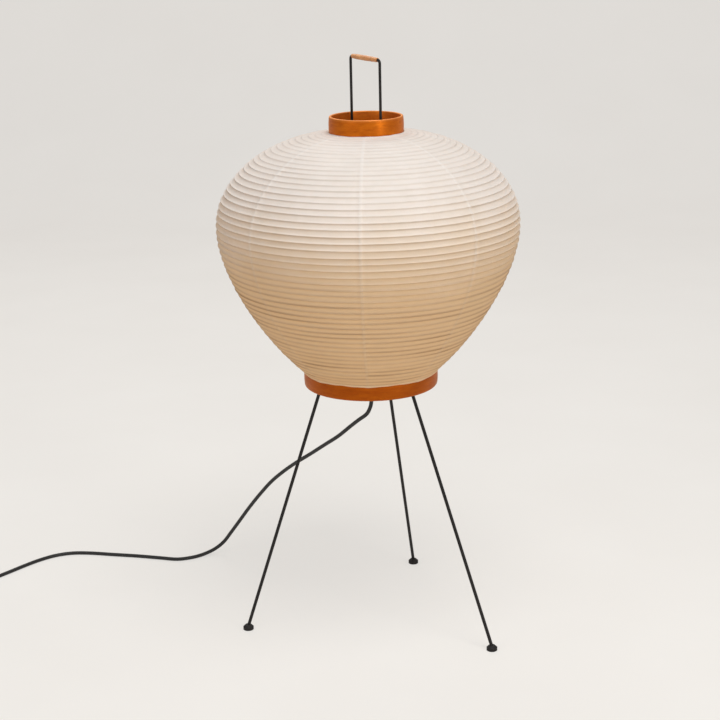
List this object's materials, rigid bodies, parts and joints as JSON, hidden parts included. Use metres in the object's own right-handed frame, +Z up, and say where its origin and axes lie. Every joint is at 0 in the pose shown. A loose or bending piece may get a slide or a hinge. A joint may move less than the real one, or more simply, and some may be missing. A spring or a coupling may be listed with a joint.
{
  "type": "paper lantern floor lamp",
  "caption": "Floor lamp with a round ribbed paper shade between bentwood rings, a wire carrying handle with a bamboo grip, splayed steel legs and a trailing lead.",
  "frame": {"origin": "on the floor, under the lamp's upright axis", "axes": "+Z up along the lamp's axis; the front seen in the picture is -Y; +X is to the viewer's right"},
  "size_m": [0.9938, 0.4884, 0.8668],
  "materials": {
    "paper": "matte, warm white",
    "bamboo": "split bamboo",
    "lacquered_wood": "satin red-brown lacquer",
    "cane": "smooth bamboo",
    "black_steel": "satin black",
    "zinc": "zinc plated",
    "brass": "plain brass",
    "bakelite": "black, polished",
    "porcelain": "white glaze",
    "opal_glass": "opal",
    "black_rubber": "matte black"
  },
  "bodies": {
    "stand": {"paper_gore_1": "paper", "paper_gore_2": "paper", "paper_gore_3": "paper", "paper_gore_4": "paper", "paper_gore_5": "paper", "paper_gore_6": "paper", "paper_gore_7": "paper", "paper_gore_8": "paper", "bamboo_ribs": "bamboo", "top_ring": "lacquered_wood", "handle_frame": "black_steel", "handle_grip": "cane", "frame_bar": "black_steel", "frame_nuts": "zinc", "base_plate": "black_steel", "base_hoop": "black_steel", "leg_sockets": "black_steel", "leg_left": "black_steel", "leg_right": "black_steel", "leg_rear": "black_steel", "foot_left": "black_rubber", "foot_right": "black_rubber", "foot_rear": "black_rubber", "nipple": "zinc", "nipple_nut": "zinc", "holder_cap": "bakelite", "holder_skirt": "bakelite", "holder_insert": "porcelain", "screw_shell": "brass", "centre_contact": "brass", "cord_grip": "black_rubber", "mains_cord": "black_rubber", "switch_lead": "black_rubber", "cord_coil": "black_rubber", "plug_lead": "black_rubber", "coil_tie": "black_rubber", "switch_base": "bakelite", "switch_cover": "bakelite", "switch_screws": "zinc", "plug_body": "black_rubber", "plug_sleeves": "bakelite", "plug_pins": "brass"},
    "lifting_ring": {"bottom_ring": "lacquered_wood", "bottom_ring_liner": "bamboo"},
    "bulb": {"bulb_glass": "opal_glass", "bulb_base": "zinc", "bulb_insulator": "bakelite", "bulb_tip": "brass"},
    "rocker": {"switch_rocker": "bakelite"}
  },
  "joints": [
    {"name": "shade_lift", "type": "slide", "parent": "stand", "child": "lifting_ring", "axis": [0, 0, 1], "range_m": [0, 0.27], "deforming": ["paper_gore_1", "paper_gore_2", "paper_gore_3", "paper_gore_4", "paper_gore_5", "paper_gore_6", "paper_gore_7", "paper_gore_8", "bamboo_ribs"]},
    {"name": "bulb_out", "type": "slide", "parent": "stand", "child": "bulb", "axis": [0, 0, 1], "range_m": [0, 0.03]},
    {"name": "switch_rock", "type": "hinge", "parent": "stand", "child": "rocker", "pos_m": [-0.665, 0.05, 0.012], "axis": [1, 0, 0], "range_deg": [0, 16]}
  ]
}
